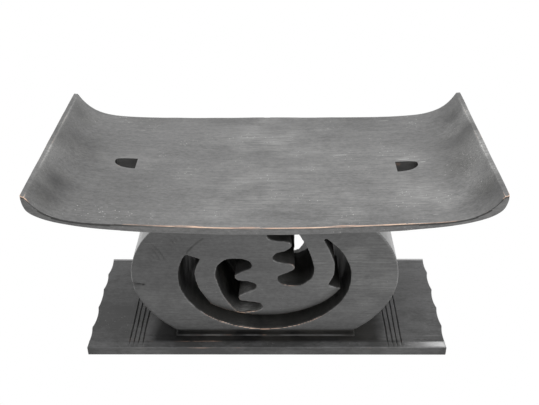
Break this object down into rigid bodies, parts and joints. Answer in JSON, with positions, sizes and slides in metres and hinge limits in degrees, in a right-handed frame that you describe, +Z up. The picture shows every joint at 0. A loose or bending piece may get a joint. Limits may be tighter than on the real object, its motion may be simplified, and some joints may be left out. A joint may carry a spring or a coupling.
{
  "type": "carved wooden stool",
  "caption": "Low carved stool: a curved seat with two finger slots on an oval drum pierced with a hooked openwork figure, standing on a flat notched plinth.",
  "frame": {"origin": "centre of the plinth's underside, midway between the seat's tips", "axes": "+X along the seat, +Y from the front face to the back, +Z up"},
  "size_m": [0.444, 0.228, 0.2275],
  "materials": {
    "seat_wood": "black-stained wood, satin wax, brown showing at the worn edges",
    "drum_wood": "black-stained wood, dull satin with tool marks",
    "figure_wood": "black-stained wood, dull satin face and darker knife-cut walls",
    "plinth_wood": "black-stained wood, glossier on the bevels, gouge-cut ends"
  },
  "bodies": {
    "root": {"seat": "seat_wood", "drum_ring": "drum_wood", "front_spine": "figure_wood", "front_left_hook": "figure_wood", "front_right_hook": "figure_wood", "back_spine": "figure_wood", "back_left_hook": "figure_wood", "back_right_hook": "figure_wood", "foot_pad": "plinth_wood", "plinth": "plinth_wood"}
  },
  "joints": []
}
